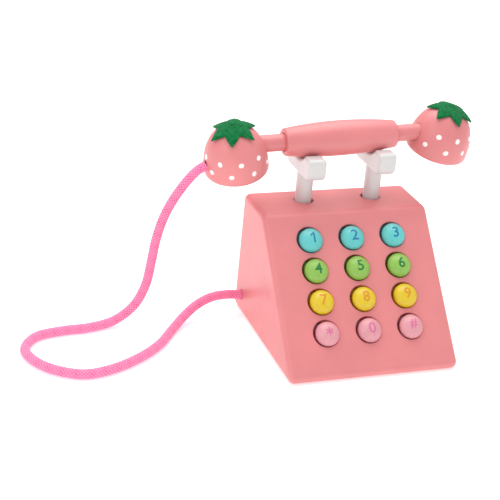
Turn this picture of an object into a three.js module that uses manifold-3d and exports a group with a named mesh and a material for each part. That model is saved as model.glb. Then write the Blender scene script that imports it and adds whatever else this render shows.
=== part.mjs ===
// A painted wooden toy telephone with push buttons, in millimetres, +Z up.
// The origin is the middle of the underside. The sloped keypad faces -Y and the cord leaves on the -X side.
// The base is a box of five painted boards closed by a screwed bottom board. Twelve turned buttons slide
// in the sloped board, two hook posts slide in the top board, and the handset lies on their cradle heads.

import * as THREE from 'three';
import { mergeVertices } from 'three/addons/utils/BufferGeometryUtils.js';
import Module from 'manifold-3d';

const wasm = await Module();
wasm.setup();

// Driving dimensions.
const gap = 0.3;                  // between pieces that touch or are glued
const baseWidth = 122.8;
const baseDepth = 124.4;
const baseHeight = 90;
const topFront = 15.4;            // y of the top board's front edge
const topBack = 57.6;             // y of the top board's back edge
const lipHeight = 5.9;            // upright strip below the keypad
const board = 8;                  // painted boards
const bottomBoard = 6;

const keyColumns = 3;
const keyRows = 4;
const columnPitch = 30.8;
const rowPitch = 22.1;
const keypadRise = 4.1;           // keypad centre above the middle of the slope
const keySag = 0.55;              // the caps stand this much low and right in their holes
const capRadius = 8.4;
const stemRadius = 7.4;           // under the cap's rim
const capRim = 0.9;               // where the dome starts, above the sloped face
const capTop = 5.7;
const keyHoleRadius = 9.35;
const flangeRadius = 10.5;
const flangeThickness = 2;
const pegRadius = 2.5;
const springSpace = 7.7;          // from the flange to the spring board
const springBoard = 4;

const hookX = 2;                  // the hook stands this much right of the middle
const hookSpacing = 52;
const postHoleInset = 0.5;        // the holes are this much nearer each other than the posts
const hookY = 38;
const postRadius = 6;
const postHoleRadius = 6.9;
const headUnderside = 111.1;      // left head; the right one is glued a little higher
const headRise = 2.2;
const headHeight = 16;
const headLength = 45;
const headThickness = 13.4;
const cradleRadius = 14.2;
const cradleDepth = 5.6;          // from the arm tops to the bottom of the hollow
const crossbarThickness = 8;
const shelfZ = 38;
const shelfThickness = 6;

const handsetZ = 135.2;           // middle of the handset's axis
const handsetLift = 2.2;          // degrees, right end up
const handsetRoll = 12;           // degrees, tops of the cups towards the front
const gripLength = 82.8;
const gripX = -1.1;               // the grip's middle along the handset
const gripMiddleRadius = 12.35;
const gripEndRadius = 9.5;
const neckRadius = 6;
const neckEnd = 66;               // the neck dowels stop here inside the cups
const cupRadius = 22.5;
const cupHeight = 34.1;
const leafThickness = 2;
const leafTip = 14.6;
const leafValley = 9;
const leafPoints = 6;

// Each cup: its place along the handset, how far its flat face lies below the grip's axis, how many
// degrees it leans outwards, and the direction of one of its leaf's points.
const cups = [
  { name: 'left', side: -1, x: -74.4, drop: 18.8, lean: 9.8, leafTurn: -110 },
  { name: 'right', side: 1, x: 75.1, drop: 16.6, lean: 10.9, leafTurn: -89 },
];

const cordRadius = 3;
const cordHoleRadius = 3.6;
const cordExit = new THREE.Vector3(-baseWidth / 2, 47, 13.9);

// Slope of the keypad, in the YZ plane.
const slopeFoot = new THREE.Vector2(-baseDepth / 2, lipHeight);
const slopeHead = new THREE.Vector2(topFront, baseHeight);
const slopeLength = slopeFoot.distanceTo(slopeHead);
const slopeAngle = Math.atan2(slopeHead.y - slopeFoot.y, slopeHead.x - slopeFoot.x);
const innerHalf = baseWidth / 2 - board;

// The point at a distance up the slope and a depth behind the face, as (y, z).
function behindFace(along, depth) {
  const y = slopeFoot.x + along * Math.cos(slopeAngle) + depth * Math.sin(slopeAngle);
  const z = slopeFoot.y + along * Math.sin(slopeAngle) - depth * Math.cos(slopeAngle);
  return [y, z];
}

// The same point given by its height and its depth behind the face.
function behindFaceAt(z, depth) {
  const along = (z - slopeFoot.y + depth * Math.cos(slopeAngle)) / Math.sin(slopeAngle);
  return behindFace(along, depth);
}

// y of the leaning back at a height, and a depth inside it.
function backAt(z, depth) {
  return baseDepth / 2 + (topBack - baseDepth / 2) * z / baseHeight - depth;
}

const object = new THREE.Group();

const paint = {
  pink: new THREE.MeshStandardMaterial({ color: '#e88c8e', roughness: 0.42 }),
  white: new THREE.MeshStandardMaterial({ color: '#e6e0df', roughness: 0.35 }),
  cyan: new THREE.MeshStandardMaterial({ color: '#57c7d4', roughness: 0.38 }),
  green: new THREE.MeshStandardMaterial({ color: '#7fce52', roughness: 0.38 }),
  yellow: new THREE.MeshStandardMaterial({ color: '#f8d520', roughness: 0.38 }),
  palePink: new THREE.MeshStandardMaterial({ color: '#efb4be', roughness: 0.38 }),
};
const wood = new THREE.MeshStandardMaterial({ color: '#d8b98a', roughness: 0.75 });
const steel = new THREE.MeshStandardMaterial({ color: '#b9bcc0', roughness: 0.3, metalness: 1 });
const felt = new THREE.MeshStandardMaterial({ color: '#2c7d4e', roughness: 0.95 });
const rope = new THREE.MeshStandardMaterial({ color: '#fd82b4', roughness: 0.85 });

function addMesh(parent, name, geometry, material) {
  const mesh = new THREE.Mesh(geometry, material);
  mesh.name = name;
  parent.add(mesh);
  return mesh;
}

// Solids for cutting: a closed geometry becomes a manifold and comes back as a geometry.
function solidFrom(geometry) {
  const bare = geometry.clone();
  bare.deleteAttribute('normal');
  bare.deleteAttribute('uv');
  const merged = mergeVertices(bare, 1e-4);
  return new wasm.Manifold(new wasm.Mesh({
    numProp: 3,
    vertProperties: new Float32Array(merged.attributes.position.array),
    triVerts: new Uint32Array(merged.index.array),
  }));
}

function geometryFrom(solid) {
  const mesh = solid.getMesh();
  const geometry = new THREE.BufferGeometry();
  geometry.setAttribute('position', new THREE.BufferAttribute(new Float32Array(mesh.vertProperties), 3));
  geometry.setIndex(new THREE.BufferAttribute(new Uint32Array(mesh.triVerts), 1));
  return geometry;
}

function cut(geometry, cutters) {
  const result = cutters.reduce((solid, cutter) => solid.subtract(solidFrom(cutter)), solidFrom(geometry));
  return geometryFrom(result);
}

// A round rod centred on a point, along a direction.
function rod(radius, length, centre, direction, sides = 16) {
  const geometry = new THREE.CylinderGeometry(radius, radius, length, sides);
  const turn = new THREE.Quaternion().setFromUnitVectors(new THREE.Vector3(0, 1, 0), direction);
  geometry.applyQuaternion(turn);
  geometry.translate(centre.x, centre.y, centre.z);
  return geometry;
}

const alongX = new THREE.Vector3(1, 0, 0);
const alongY = new THREE.Vector3(0, 1, 0);
const alongZ = new THREE.Vector3(0, 0, 1);
const outOfFace = new THREE.Vector3(0, -Math.sin(slopeAngle), Math.cos(slopeAngle));

// A side outline in (y, z) becomes a board that runs along X.
function acrossX(outline, fromX, toX) {
  const shape = outline instanceof THREE.Shape
    ? outline
    : new THREE.Shape(outline.map(([y, z]) => new THREE.Vector2(y, z)));
  const geometry = new THREE.ExtrudeGeometry(shape, { depth: toX - fromX, bevelEnabled: false });
  geometry.applyMatrix4(new THREE.Matrix4().makeBasis(alongY, alongZ, alongX));
  geometry.translate(fromX, 0, 0);
  return geometry;
}

function block(fromX, toX, fromY, toY, fromZ, toZ) {
  const geometry = new THREE.BoxGeometry(toX - fromX, toY - fromY, toZ - fromZ);
  geometry.translate((fromX + toX) / 2, (fromY + toY) / 2, (fromZ + toZ) / 2);
  return geometry;
}

// A turned piece about Z, from (radius, z) pairs that start and end on the axis.
function turned(profile, sides) {
  const geometry = new THREE.LatheGeometry(profile.map(([r, z]) => new THREE.Vector2(r, z)), sides);
  geometry.rotateX(Math.PI / 2);
  return geometry;
}

// A quarter round from an edge point, as (radius, z) pairs.
function quarterRound(centreR, centreZ, radius, fromAngle, steps) {
  return Array.from({ length: steps + 1 }, (_, i) => {
    const angle = fromAngle + (Math.PI / 2) * i / steps;
    return [centreR + radius * Math.cos(angle), centreZ + radius * Math.sin(angle)];
  });
}

// A compression spring about Z, its coils between two heights.
class Helix extends THREE.Curve {
  constructor(radius, fromZ, toZ, coils) {
    super();
    Object.assign(this, { radius, fromZ, toZ, coils });
  }

  getPoint(t, target = new THREE.Vector3()) {
    const angle = 2 * Math.PI * this.coils * t;
    const z = this.fromZ + (this.toZ - this.fromZ) * t;
    return target.set(this.radius * Math.cos(angle), this.radius * Math.sin(angle), z);
  }
}

function coilSpring(radius, wire, fromZ, toZ, coils) {
  const section = new THREE.Shape();
  section.moveTo(wire, 0).lineTo(0, wire).lineTo(-wire, 0).lineTo(0, -wire);
  const path = new Helix(radius, fromZ + wire, toZ - wire, coils);
  return new THREE.ExtrudeGeometry(section, { steps: coils * 6, extrudePath: path });
}

// A countersunk wood screw about Z with its flat head up at z = 0.
function woodScrew(length, headRadius, shaftRadius) {
  const headDepth = headRadius - shaftRadius;
  return turned([
    [0, -length],
    [shaftRadius * 0.6, -length + 1.5],
    [shaftRadius, -length + 3],
    [shaftRadius, -headDepth - 0.4],
    [headRadius, -0.4],
    [headRadius, 0],
    [0, 0],
  ], 12);
}

// The base: five painted boards. The side boards carry the outline and the others fit between them.
function addBoards() {
  const outline = [
    [-baseDepth / 2, 0], [baseDepth / 2, 0], [topBack, baseHeight],
    [slopeHead.x, slopeHead.y], [slopeFoot.x, slopeFoot.y],
  ];
  const between = innerHalf - gap;
  const cordHole = rod(cordHoleRadius, 3 * board, cordExit, alongX, 20);
  const left = cut(acrossX(outline, -baseWidth / 2, -innerHalf), [cordHole]);
  addMesh(object, 'side_board_left', left, paint.pink);
  addMesh(object, 'side_board_right', acrossX(outline, innerHalf, baseWidth / 2), paint.pink);

  const underTop = baseHeight - board;
  const mitre = behindFaceAt(underTop, board);
  const frontOutline = [
    [-baseDepth / 2, 0], behindFaceAt(0, board), mitre,
    [slopeHead.x, slopeHead.y], [slopeFoot.x, slopeFoot.y],
  ];
  const holes = keyPlaces().map(({ x, along }) => {
    const [y, z] = behindFace(along, board / 2);
    return rod(keyHoleRadius, 3 * board, new THREE.Vector3(x, y, z), outOfFace);
  });
  addMesh(object, 'front_board', cut(acrossX(frontOutline, -between, between), holes), paint.pink);

  const topOutline = [
    [mitre[0] + gap, underTop], [backAt(underTop, 0), underTop],
    [topBack, baseHeight], [slopeHead.x + gap, baseHeight],
  ];
  const postHoles = hookSides.map(({ holeX }) => {
    return rod(postHoleRadius, 3 * board, new THREE.Vector3(holeX, hookY, baseHeight - board / 2), alongZ);
  });
  addMesh(object, 'top_board', cut(acrossX(topOutline, -between, between), postHoles), paint.pink);

  const backTop = underTop - gap;
  const backOutline = [
    [backAt(0, board), 0], [backAt(0, 0), 0], [backAt(backTop, 0), backTop], [backAt(backTop, board), backTop],
  ];
  addMesh(object, 'back_board', acrossX(backOutline, -between, between), paint.pink);
}

// The bottom board lies between the walls and is screwed up into two cleats glued to the side boards.
const cleatWidth = 10;
const cleatTop = bottomBoard + gap + 8;
const cleatBack = 35;
const cleatHead = 102;                           // where the cleats end, up the slope
const cleatX = innerHalf - gap - cleatWidth / 2;
const cleatFront = board + gap;                  // depth of the cleat's front face behind the slope
const cleatRear = cleatFront + flangeThickness + springSpace;
const bottomScrewPlaces = [-1, 1].flatMap((side) => [-36, 26].map((y) => ({ x: side * cleatX, y })));
const springScrewAlong = [46, 95];
const springScrewPlaces = [-1, 1].flatMap((side) => {
  return springScrewAlong.map((along) => ({ x: side * cleatX, along }));
});
const screwHead = 3;
const screwShaft = 1.5;

function addBottom() {
  const screwLength = 12;
  const between = innerHalf - gap;
  const frontEdge = behindFaceAt(0, board)[0] + 0.5;
  const outline = [
    [frontEdge, 0], [backAt(0, board) - 0.5, 0],
    [backAt(bottomBoard, board) - 0.5, bottomBoard], [behindFaceAt(bottomBoard, board)[0] + 0.5, bottomBoard],
  ];
  const sink = turned([
    [0, -screwLength - gap], [screwShaft + gap, -screwLength - gap], [screwShaft + gap, -screwHead],
    [screwHead + gap, -0.6], [screwHead + gap, 1], [0, 1],
  ], 12);
  sink.rotateX(Math.PI);
  const screw = woodScrew(screwLength, screwHead, screwShaft);
  screw.rotateX(Math.PI);
  const sinks = bottomScrewPlaces.map(({ x, y }) => sink.clone().translate(x, y, 0.2));
  addMesh(object, 'bottom_board', cut(acrossX(outline, -between, between), sinks), wood);
  bottomScrewPlaces.forEach(({ x, y }, i) => {
    addMesh(object, `bottom_screw_${i + 1}`, screw, steel).position.set(x, y, 0.2);
  });

  const cleatOutline = [
    behindFaceAt(bottomBoard + gap, cleatFront), [cleatBack, bottomBoard + gap], [cleatBack, cleatTop],
    behindFaceAt(cleatTop, cleatRear), behindFace(cleatHead, cleatRear), behindFace(cleatHead, cleatFront),
  ];
  ['left', 'right'].forEach((name, i) => {
    const middle = (2 * i - 1) * cleatX;
    const outlineSolid = acrossX(cleatOutline, middle - cleatWidth / 2, middle + cleatWidth / 2);
    const faceBores = springScrewPlaces.filter(({ x }) => x === middle).map(({ x, along }) => {
      const [y, z] = behindFace(along, cleatRear - 3);
      return rod(screwShaft + gap, 8, new THREE.Vector3(x, y, z), outOfFace, 12);
    });
    const floorBores = sinks.filter((_, j) => bottomScrewPlaces[j].x === middle);
    addMesh(object, `cleat_${name}`, cut(outlineSolid, [...faceBores, ...floorBores]), wood);
  });
}

// The keypad works in its own frame: X across, Y up the slope, Z out of the face, z = 0 on the face.
function keyPlaces() {
  const places = [];
  for (let row = 0; row < keyRows; row += 1) {
    for (let column = 0; column < keyColumns; column += 1) {
      places.push({
        x: (column - 1) * columnPitch,
        along: slopeLength / 2 + keypadRise + ((keyRows - 1) / 2 - row) * rowPitch,
      });
    }
  }
  return places;
}

const keyNames = ['1', '2', '3', '4', '5', '6', '7', '8', '9', 'star', '0', 'hash'];
const rowPaints = [paint.cyan, paint.green, paint.yellow, paint.palePink];

function addKeypad() {
  const keypad = new THREE.Group();
  keypad.position.set(0, slopeFoot.x, slopeFoot.y);
  keypad.rotation.x = slopeAngle;
  object.add(keypad);

  const flangeTop = -board - gap;
  const flangeUnder = flangeTop - flangeThickness;
  const boardFace = flangeUnder - springSpace;
  const boardBack = boardFace - springBoard;
  const pegEnd = boardFace - 2;
  const domeSteps = 4;
  const dome = Array.from({ length: domeSteps + 1 }, (_, i) => {
    const angle = (Math.PI / 2) * i / domeSteps;
    const r = i === domeSteps ? 0 : capRadius * Math.cos(angle) ** 0.9;
    return [r, capRim + (capTop - capRim) * Math.sin(angle)];
  });
  const button = turned([
    [0, pegEnd], [pegRadius, pegEnd], [pegRadius, flangeUnder],
    [flangeRadius, flangeUnder], [flangeRadius, flangeTop], [stemRadius, flangeTop],
    [stemRadius, capRim - 3], [capRadius, capRim - 2], ...dome,
  ], 14);
  const spring = coilSpring(4.3, 0.45, boardFace + gap, flangeUnder - gap, 3);
  keyPlaces().forEach(({ x, along }, i) => {
    const material = rowPaints[Math.floor(i / keyColumns)];
    addMesh(keypad, `button_${keyNames[i]}`, button, material).position.set(x + keySag, along - keySag, 0);
    addMesh(keypad, `button_spring_${keyNames[i]}`, spring, steel).position.set(x + keySag, along - keySag, 0);
  });

  // The spring board is narrower at its foot, where the cleats turn along the bottom board.
  const halfWidth = innerHalf - 2 * gap;
  const footHalf = cleatX - cleatWidth / 2 - 2 * gap;
  const foot = 23.5;
  const step = 36;
  const head = 104;
  const plate = new THREE.Shape([
    new THREE.Vector2(-footHalf, foot), new THREE.Vector2(footHalf, foot),
    new THREE.Vector2(footHalf, step), new THREE.Vector2(halfWidth, step),
    new THREE.Vector2(halfWidth, head), new THREE.Vector2(-halfWidth, head),
    new THREE.Vector2(-halfWidth, step), new THREE.Vector2(-footHalf, step),
  ]);
  const plateGeometry = new THREE.ExtrudeGeometry(plate, { depth: springBoard - gap, bevelEnabled: false });
  plateGeometry.translate(0, 0, boardBack);
  const guideHoles = keyPlaces().map(({ x, along }) => {
    return rod(pegRadius + 0.5, 3 * springBoard, new THREE.Vector3(x + keySag, along - keySag, boardBack), alongZ, 16);
  });
  const screwHoles = springScrewPlaces.map(({ x, along }) => {
    return rod(screwShaft + gap, 3 * springBoard, new THREE.Vector3(x, along, boardBack), alongZ, 12);
  });
  addMesh(keypad, 'spring_board', cut(plateGeometry, [...guideHoles, ...screwHoles]), wood);

  const panScrew = turned([
    [0, -9], [screwShaft * 0.5, -8], [screwShaft, -6.5], [screwShaft, gap],
    [screwHead, gap], [screwHead, 1.4], [screwHead * 0.6, 2.2], [0, 2.2],
  ], 12);
  panScrew.rotateX(Math.PI);
  springScrewPlaces.forEach(({ x, along }, i) => {
    addMesh(keypad, `spring_board_screw_${i + 1}`, panScrew, steel).position.set(x, along, boardBack);
  });
}

// The hook: two posts with cradle heads, joined below the top board and held up by two springs.
const hookSides = [-1, 1].map((side) => ({
  name: side < 0 ? 'left' : 'right',
  x: hookX + side * hookSpacing / 2,
  holeX: hookX + side * (hookSpacing / 2 - postHoleInset),
  underside: headUnderside + (side > 0 ? headRise : 0),
}));
const tenonRadius = 3.5;
const tenonLength = 6;

function headOutline() {
  const half = headLength / 2;
  const low = 6;
  const high = 3.5;
  const centreZ = headHeight - cradleDepth + cradleRadius;
  const mouth = Math.sqrt(cradleRadius ** 2 - (centreZ - headHeight) ** 2);
  const mouthAngle = Math.atan2(headHeight - centreZ, mouth);
  const shape = new THREE.Shape();
  shape.moveTo(-half + low, 0);
  shape.lineTo(half - low, 0);
  shape.absarc(half - low, low, low, -Math.PI / 2, 0, false);
  shape.lineTo(half, headHeight - high);
  shape.absarc(half - high, headHeight - high, high, 0, Math.PI / 2, false);
  shape.lineTo(mouth, headHeight);
  shape.absarc(0, centreZ, cradleRadius, mouthAngle, Math.PI - mouthAngle, true);
  shape.lineTo(-half + high, headHeight);
  shape.absarc(-half + high, headHeight - high, high, Math.PI / 2, Math.PI, false);
  shape.lineTo(-half, low);
  shape.absarc(-half + low, low, low, Math.PI, 1.5 * Math.PI, false);
  return shape;
}

function addHook() {
  const crossbarTop = baseHeight - board - gap;
  const crossbarUnder = crossbarTop - crossbarThickness;
  const shelfTop = shelfZ + shelfThickness;
  const tailEnd = shelfZ - 2;
  const head = new THREE.ExtrudeGeometry(headOutline(), {
    depth: headThickness, bevelEnabled: false, curveSegments: 5,
  });
  head.applyMatrix4(new THREE.Matrix4().makeBasis(alongY, alongZ, alongX));
  head.translate(-headThickness / 2, 0, 0);
  const socket = rod(tenonRadius + gap, 2 * tenonLength + 1, new THREE.Vector3(0, 0, 0), alongZ, 16);
  const headGeometry = cut(head, [socket]);
  const spring = coilSpring(7.5, 0.65, shelfTop + gap, crossbarUnder - gap, 5);

  hookSides.forEach(({ name, x, underside }) => {
    const post = turned([
      [0, tailEnd], [postRadius - 0.8, tailEnd], [postRadius, tailEnd + 0.8],
      [postRadius, underside - gap], [tenonRadius, underside - gap],
      [tenonRadius, underside + tenonLength], [0, underside + tenonLength],
    ], 16);
    addMesh(object, `hook_post_${name}`, post, paint.white).position.set(x, hookY, 0);
    addMesh(object, `hook_head_${name}`, headGeometry, paint.white).position.set(x, hookY, underside);
    addMesh(object, `hook_spring_${name}`, spring, steel).position.set(x, hookY, 0);
  });

  const postBores = (z, clearance) => hookSides.map(({ x }) => {
    return rod(postRadius + clearance, 30, new THREE.Vector3(x, hookY, z), alongZ);
  });
  const crossbar = block(hookX - 38, hookX + 38, hookY - 10, hookY + 10, crossbarUnder, crossbarTop);
  addMesh(object, 'hook_crossbar', cut(crossbar, postBores(crossbarTop, gap)), wood);
  const shelfHalf = innerHalf - gap;
  const shelf = block(-shelfHalf, shelfHalf, hookY - 12, backAt(shelfTop, board) - gap, shelfZ, shelfTop);
  addMesh(object, 'hook_shelf', cut(shelf, postBores(shelfZ, 0.5)), wood);
}

// The handset in its own frame: X along the grip, Z up, the origin in the middle of the grip.
function cupProfile(offset, steps) {
  const edge = 2.5;
  const profile = quarterRound(cupRadius - edge, edge, edge + offset, -Math.PI / 2, 3);
  for (let i = 1; i <= steps; i += 1) {
    const angle = (Math.PI / 2) * i / steps;
    const r = (cupRadius + offset) * Math.cos(angle) ** 0.87;
    const z = edge + (cupHeight - edge + offset) * Math.sin(angle) ** 0.87;
    profile.push([i === steps ? 0 : r, z]);
  }
  return [[0, -offset], ...profile];
}

function addHandset() {
  const handset = new THREE.Group();
  handset.position.set(0, hookY, handsetZ);
  handset.rotation.set(
    THREE.MathUtils.degToRad(handsetRoll), THREE.MathUtils.degToRad(-handsetLift), 0, 'YXZ',
  );
  object.add(handset);

  // The barrel grip has a blind bore for a neck dowel at each end.
  const half = gripLength / 2;
  const boreEnd = 24;                            // in the grip, from its own middle
  const boreRadius = neckRadius + gap;
  const edge = 1.5;
  const stations = 6;
  const barrel = [];
  for (let i = 0; i <= stations; i += 1) {
    const x = (half - edge) * (2 * i / stations - 1);
    barrel.push([gripMiddleRadius - (gripMiddleRadius - gripEndRadius) * (x / half) ** 2, x]);
  }
  const endRadius = barrel[0][0];
  const grip = turned([
    [0, -boreEnd], [boreRadius, -boreEnd], [boreRadius, -half], [endRadius - edge, -half],
    [endRadius - edge * 0.3, -half + edge * 0.3], ...barrel, [endRadius - edge * 0.3, half - edge * 0.3],
    [endRadius - edge, half], [boreRadius, half], [boreRadius, boreEnd], [0, boreEnd],
  ], 20);
  grip.rotateY(Math.PI / 2);
  addMesh(handset, 'grip', grip, paint.pink).position.x = gripX;

  const necks = [-1, 1].map((side) => {
    const from = boreEnd + Math.abs(gripX) + gap;
    const middle = new THREE.Vector3(side * (from + neckEnd) / 2, 0, 0);
    return { middle, length: neckEnd - from };
  });
  necks.forEach(({ middle, length }, i) => {
    const name = ['neck_left', 'neck_right'][i];
    addMesh(handset, name, rod(neckRadius, length, middle, alongX), paint.pink);
  });

  // Each cup is a turned strawberry with a bore for the neck. The left one also takes the cord.
  const cup = turned(cupProfile(0, 7), 24);
  const leafShell = solidFrom(turned(cupProfile(gap + leafThickness, 7), 24))
    .subtract(solidFrom(turned(cupProfile(gap, 7), 24)));
  const star = new THREE.Shape();
  for (let i = 0; i < 2 * leafPoints; i += 1) {
    const angle = Math.PI * i / leafPoints;
    const radius = i % 2 === 0 ? leafTip : leafValley;
    const step = i === 0 ? 'moveTo' : 'lineTo';
    star[step](radius * Math.cos(angle), radius * Math.sin(angle));
  }
  const starBlock = new THREE.ExtrudeGeometry(star, { depth: cupHeight, bevelEnabled: false });
  starBlock.translate(0, 0, cupHeight / 2);
  const leaf = geometryFrom(leafShell.intersect(solidFrom(starBlock)));

  cups.forEach(({ name, side, x, drop, lean, leafTurn }, i) => {
    const place = new THREE.Group();
    place.position.set(x, 0, -drop);
    place.rotation.y = THREE.MathUtils.degToRad(side * lean);
    handset.add(place);
    handset.updateMatrixWorld(true);
    const toCup = place.matrixWorld.clone().invert().multiply(handset.matrixWorld);
    const neckBore = rod(neckRadius + gap, necks[i].length + 2 * gap, necks[i].middle, alongX);
    neckBore.applyMatrix4(toCup);
    const bores = [neckBore];
    if (side < 0) {
      const cordBore = rod(cordHoleRadius, 20, cordEnd(), cordEndDirection());
      cordBore.applyMatrix4(place.matrixWorld.clone().invert());
      bores.push(cordBore);
    }
    addMesh(place, `cup_${name}`, cut(cup, bores), paint.pink);
    addMesh(place, `leaf_${name}`, leaf, felt).rotation.z = THREE.MathUtils.degToRad(leafTurn);
  });
}

// The cord: a rope that leaves the left side board, lies on the table and climbs to the left cup.
const cordRoute = [
  [cordExit.x - gap, cordExit.y, cordExit.z],
  [-72, 46.9, 14.9],
  [-84, 45.8, 14.3],
  [-96, 42.2, 10.9],
  [-107.6, 35, 5.9],
  [-119.3, 21.8, 3.4],
  [-133.3, 3, 3.3],
  [-151.3, -12.6, 3.3],
  [-172.3, -23.8, 3.3],
  [-190.3, -27, 3.3],
  [-206.3, -19.6, 3.3],
  [-218.9, -5.2, 3.3],
  [-223.3, 12.8, 3.3],
  [-212.9, 29, 3.3],
  [-194.7, 34.2, 3.3],
  [-174.7, 35.8, 3.3],
  [-156.2, 40.4, 4.9],
  [-142.4, 41.6, 14.7],
  [-134.6, 41.8, 29.7],
  [-131.2, 41.6, 47.7],
  [-128.6, 41.4, 64.7],
  [-123.4, 41, 82.7],
  [-114.6, 40.4, 99.7],
  [-103.4, 39.4, 114.3],
  [-96.4, 38.6, 119.3],
];

function cordEnd() {
  return new THREE.Vector3(...cordRoute.at(-1));
}

function cordEndDirection() {
  return cordEnd().sub(new THREE.Vector3(...cordRoute.at(-2))).normalize();
}

function addCord() {
  const path = new THREE.CatmullRomCurve3(cordRoute.map((point) => new THREE.Vector3(...point)));
  const section = new THREE.Shape();
  const sides = 8;
  for (let i = 0; i < sides; i += 1) {
    const angle = 2 * Math.PI * (i + 0.5) / sides;
    const step = i === 0 ? 'moveTo' : 'lineTo';
    section[step](cordRadius * Math.cos(angle), cordRadius * Math.sin(angle));
  }
  const steps = Math.round(path.getLength() / (5 * cordRadius)) + 10;
  addMesh(object, 'cord', new THREE.ExtrudeGeometry(section, { steps, extrudePath: path }), rope);

  // A stub of the rope fills the hole in the side board and ends in a knot in the corner behind it.
  const inside = -innerHalf + gap;
  const knot = turned([
    [0, 0], [4.6, 0.6], [6.6, 3], [7.3, 7], [6.4, 11], [3.6, 14], [0, 15],
  ], 14);
  knot.rotateY(Math.PI / 2);
  knot.translate(inside, cordExit.y - 3, cordExit.z + 1.6);
  const stubLength = board + 2;
  const stubMiddle = new THREE.Vector3(cordExit.x + stubLength / 2, cordExit.y, cordExit.z);
  const stub = rod(cordRadius, stubLength, stubMiddle, alongX, 14);
  addMesh(object, 'cord_knot', geometryFrom(solidFrom(knot).add(solidFrom(stub))), rope);
}

addBoards();
addBottom();
addKeypad();
addHook();
addHandset();
addCord();

export default object;
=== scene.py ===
"""A painted wooden toy telephone with push buttons and a rope cord. Metres, +Z up, keypad towards -Y."""
import math

import bmesh
import bpy
import numpy as np
from mathutils import Matrix, Quaternion, Vector


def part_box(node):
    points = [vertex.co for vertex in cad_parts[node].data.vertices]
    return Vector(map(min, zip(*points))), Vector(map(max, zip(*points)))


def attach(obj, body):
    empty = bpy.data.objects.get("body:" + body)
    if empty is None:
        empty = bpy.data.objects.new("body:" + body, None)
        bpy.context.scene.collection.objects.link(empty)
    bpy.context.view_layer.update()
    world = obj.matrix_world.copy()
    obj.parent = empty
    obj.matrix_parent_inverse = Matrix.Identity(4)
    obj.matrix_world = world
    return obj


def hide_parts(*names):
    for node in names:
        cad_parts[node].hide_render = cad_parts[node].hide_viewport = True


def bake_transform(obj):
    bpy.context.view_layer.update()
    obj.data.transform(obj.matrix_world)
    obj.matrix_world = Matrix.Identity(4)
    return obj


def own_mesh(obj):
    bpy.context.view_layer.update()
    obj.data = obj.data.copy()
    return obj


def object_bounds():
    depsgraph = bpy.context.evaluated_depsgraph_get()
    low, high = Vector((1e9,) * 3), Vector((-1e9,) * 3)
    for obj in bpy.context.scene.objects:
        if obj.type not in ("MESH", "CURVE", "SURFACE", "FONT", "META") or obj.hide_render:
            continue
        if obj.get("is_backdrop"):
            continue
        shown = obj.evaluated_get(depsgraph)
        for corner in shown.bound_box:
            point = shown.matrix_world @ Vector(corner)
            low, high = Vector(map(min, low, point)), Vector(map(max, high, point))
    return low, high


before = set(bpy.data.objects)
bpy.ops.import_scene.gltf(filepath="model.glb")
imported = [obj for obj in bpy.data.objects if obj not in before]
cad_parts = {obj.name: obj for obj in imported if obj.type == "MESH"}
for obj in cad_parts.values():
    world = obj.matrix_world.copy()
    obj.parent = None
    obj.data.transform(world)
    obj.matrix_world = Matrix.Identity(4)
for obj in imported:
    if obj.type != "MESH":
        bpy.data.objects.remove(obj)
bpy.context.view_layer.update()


# ------------------------------------------------------------------------------------- viewpoint
# The telephone is seen from its front left and a little above, from about nine tenths of a metre.
# The camera is tipped a few degrees about its own axis, so the box leans to the left.
sight = bpy.data.cameras.new("viewpoint")
sight.sensor_width = 36.0
sight.lens = 93.9
viewpoint = bpy.data.objects.new("viewpoint", sight)
bpy.context.scene.collection.objects.link(viewpoint)
bpy.context.scene.camera = viewpoint

view_azimuth = math.radians(-20.03)
view_elevation = math.radians(24.22)
view_tip = math.radians(4.65)
towards_viewer = Vector((
    math.sin(view_azimuth) * math.cos(view_elevation),
    -math.cos(view_azimuth) * math.cos(view_elevation),
    math.sin(view_elevation),
))
viewpoint.location = (-0.3486, -0.7525, 0.4319)
viewpoint.rotation_mode = "QUATERNION"
viewpoint.rotation_quaternion = (-towards_viewer).to_track_quat("-Z", "Y") @ Quaternion((0, 0, 1), view_tip)


# ------------------------------------------------------------------------------------------ cord
# A soft braided rope, dyed pink, its strands laid over and under in diamonds. It comes out of the left
# side of the box, lies on the table in an open loop and is glued into the left cup.
rope_diameter = 0.0066
rope_route = [
    (-0.0617, 0.047, 0.0139), (-0.072, 0.0469, 0.0149), (-0.084, 0.0458, 0.0143), (-0.096, 0.0422, 0.0109),
    (-0.1076, 0.035, 0.0059), (-0.1193, 0.0218, 0.0034), (-0.1333, 0.003, 0.0033),
    (-0.1513, -0.0126, 0.0033), (-0.1723, -0.0238, 0.0033), (-0.1903, -0.027, 0.0033),
    (-0.2063, -0.0196, 0.0033), (-0.2189, -0.0052, 0.0033), (-0.2233, 0.0128, 0.0033),
    (-0.2129, 0.029, 0.0033), (-0.1947, 0.0342, 0.0033), (-0.1747, 0.0358, 0.0033),
    (-0.1562, 0.0404, 0.0049), (-0.1424, 0.0416, 0.0147), (-0.1346, 0.0418, 0.0297),
    (-0.1312, 0.0416, 0.0477), (-0.1286, 0.0414, 0.0647), (-0.1234, 0.041, 0.0827),
    (-0.1146, 0.0404, 0.0997), (-0.1034, 0.0394, 0.1143), (-0.0964, 0.0386, 0.1193),
]
rope_exit = rope_route[0]


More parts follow.
